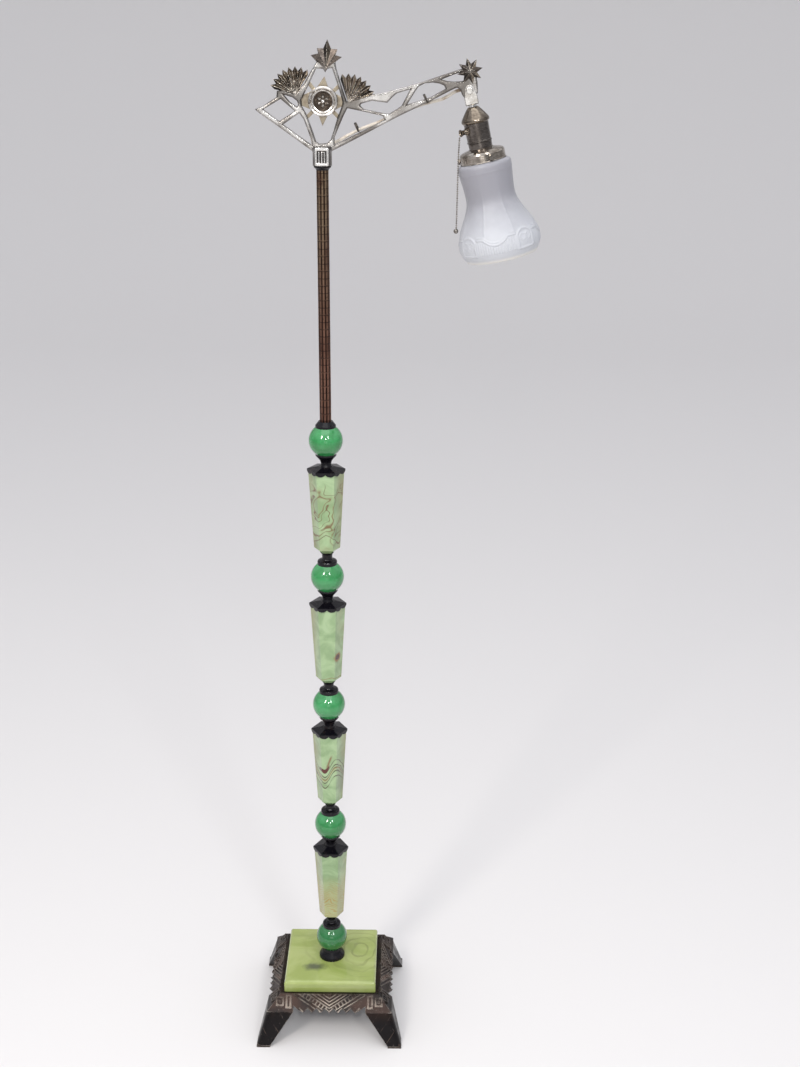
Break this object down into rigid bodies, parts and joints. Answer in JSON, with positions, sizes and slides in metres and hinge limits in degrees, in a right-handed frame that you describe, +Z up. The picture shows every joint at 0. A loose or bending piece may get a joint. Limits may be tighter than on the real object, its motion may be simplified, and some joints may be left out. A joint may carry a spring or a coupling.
{
  "type": "bridge-arm floor lamp",
  "caption": "Floor lamp with a pole of glass balls and tapered glass columns on a cast base, a pierced swivel arm and a frosted bell shade on a pull-chain socket.",
  "frame": {"origin": "on the floor, under the pole's axis", "axes": "+Z up the pole, +X along the arm towards the shade at rest, +Y to the rear where the lead leaves the base"},
  "size_m": [0.4227, 0.236, 1.5584],
  "materials": {
    "base_metal": "antiqued brown bronze paint on cast metal, rubbed gold on the high spots",
    "felt": "green felt",
    "slab_glass": "opaque yellow-green slag glass, glossy",
    "dark_plastic": "brown-black bushing",
    "steel": "plain steel",
    "black_metal": "near-black patina, satin",
    "jade_glass": "opaque jade green glass, glossy",
    "slag_glass": "opaque celadon slag glass with caramel veins, glossy",
    "tube_bronze": "dark copper bronze",
    "arm_silver": "polished cast white metal, dark in the recesses",
    "ornament_metal": "dark antique nickel",
    "medal_brass": "dull brass",
    "nickel": "bright nickel plate",
    "socket_metal": "antique nickel, browned",
    "porcelain": "white porcelain",
    "brass": "plain brass",
    "chain_metal": "dull nickel bead chain",
    "frosted_glass": "satin frosted pressed glass",
    "bulb_glass": "frosted bulb",
    "lead_cover": "old cream-brown covered lead"
  },
  "bodies": {
    "stand": {"base_casting": "base_metal", "foot_pads": "felt", "slab_felt": "felt", "glass_slab": "slab_glass", "cord_bushing": "dark_plastic", "bottom_fixings": "steel", "centre_pipe": "steel", "foot_disc": "black_metal", "lower_spool_1": "black_metal", "lower_spool_2": "black_metal", "lower_spool_3": "black_metal", "lower_spool_4": "black_metal", "upper_spool_1": "black_metal", "upper_spool_2": "black_metal", "upper_spool_3": "black_metal", "upper_spool_4": "black_metal", "cap_1": "black_metal", "cap_2": "black_metal", "cap_3": "black_metal", "cap_4": "black_metal", "tube_flange": "black_metal", "swivel_collar": "black_metal", "ball_1": "jade_glass", "ball_2": "jade_glass", "ball_3": "jade_glass", "ball_4": "jade_glass", "ball_5": "jade_glass", "column_1": "slag_glass", "column_2": "slag_glass", "column_3": "slag_glass", "column_4": "slag_glass", "reeded_tube": "tube_bronze", "pole_lead": "lead_cover"},
    "arm": {"arm_casting": "arm_silver", "arm_fans": "ornament_metal", "finial": "ornament_metal", "end_star": "ornament_metal", "medallion_plate": "medal_brass", "medallion": "ornament_metal", "arm_lead": "lead_cover"},
    "head": {"knuckle": "nickel", "knuckle_screw": "nickel", "nipple": "nickel", "socket_cap": "socket_metal", "shell_upper": "socket_metal", "shell_lower": "socket_metal", "socket_insert": "porcelain", "socket_thread": "brass", "chain_guide": "nickel", "shade_holder": "socket_metal", "glass_shade": "frosted_glass", "bulb_glass": "bulb_glass", "bulb_base": "brass", "head_lead": "lead_cover"},
    "pull": {"switch_stub": "chain_metal"},
    "chain": {"pull_chain": "chain_metal", "chain_ball": "chain_metal"},
    "screw_1": {"holder_screw_1": "socket_metal"},
    "screw_2": {"holder_screw_2": "socket_metal"},
    "screw_3": {"holder_screw_3": "socket_metal"}
  },
  "joints": [
    {"name": "arm_swivel", "type": "hinge", "parent": "stand", "child": "arm", "pos_m": [0, 0, 1.3933], "axis": [0, 0, 1], "range_deg": [-90, 90]},
    {"name": "shade_tilt", "type": "hinge", "parent": "arm", "child": "head", "pos_m": [0.201, 0, 1.494], "axis": [0, 1, 0], "range_deg": [-60, 40]},
    {"name": "pull_switch", "type": "slide", "parent": "head", "child": "pull", "axis": [-0.8438, -0.5, -0.1948], "range_m": [0, 0.007], "stiffness_N_per_m": 600, "springref_m": -0.004},
    {"name": "chain_swing", "type": "hinge", "parent": "pull", "child": "chain", "pos_m": [0.18816, -0.01475, 1.43603], "axis": [0, 1, 0], "range_deg": [0, 60]},
    {"name": "holder_screw_1_turn", "type": "slide", "parent": "head", "child": "screw_1", "axis": [-0.9596, 0.1736, -0.2215], "range_m": [0, 0.004]},
    {"name": "holder_screw_2_turn", "type": "slide", "parent": "head", "child": "screw_2", "axis": [0.3333, -0.9397, 0.0769], "range_m": [0, 0.004]},
    {"name": "holder_screw_3_turn", "type": "slide", "parent": "head", "child": "screw_3", "axis": [0.6263, 0.766, 0.1446], "range_m": [0, 0.004]}
  ]
}
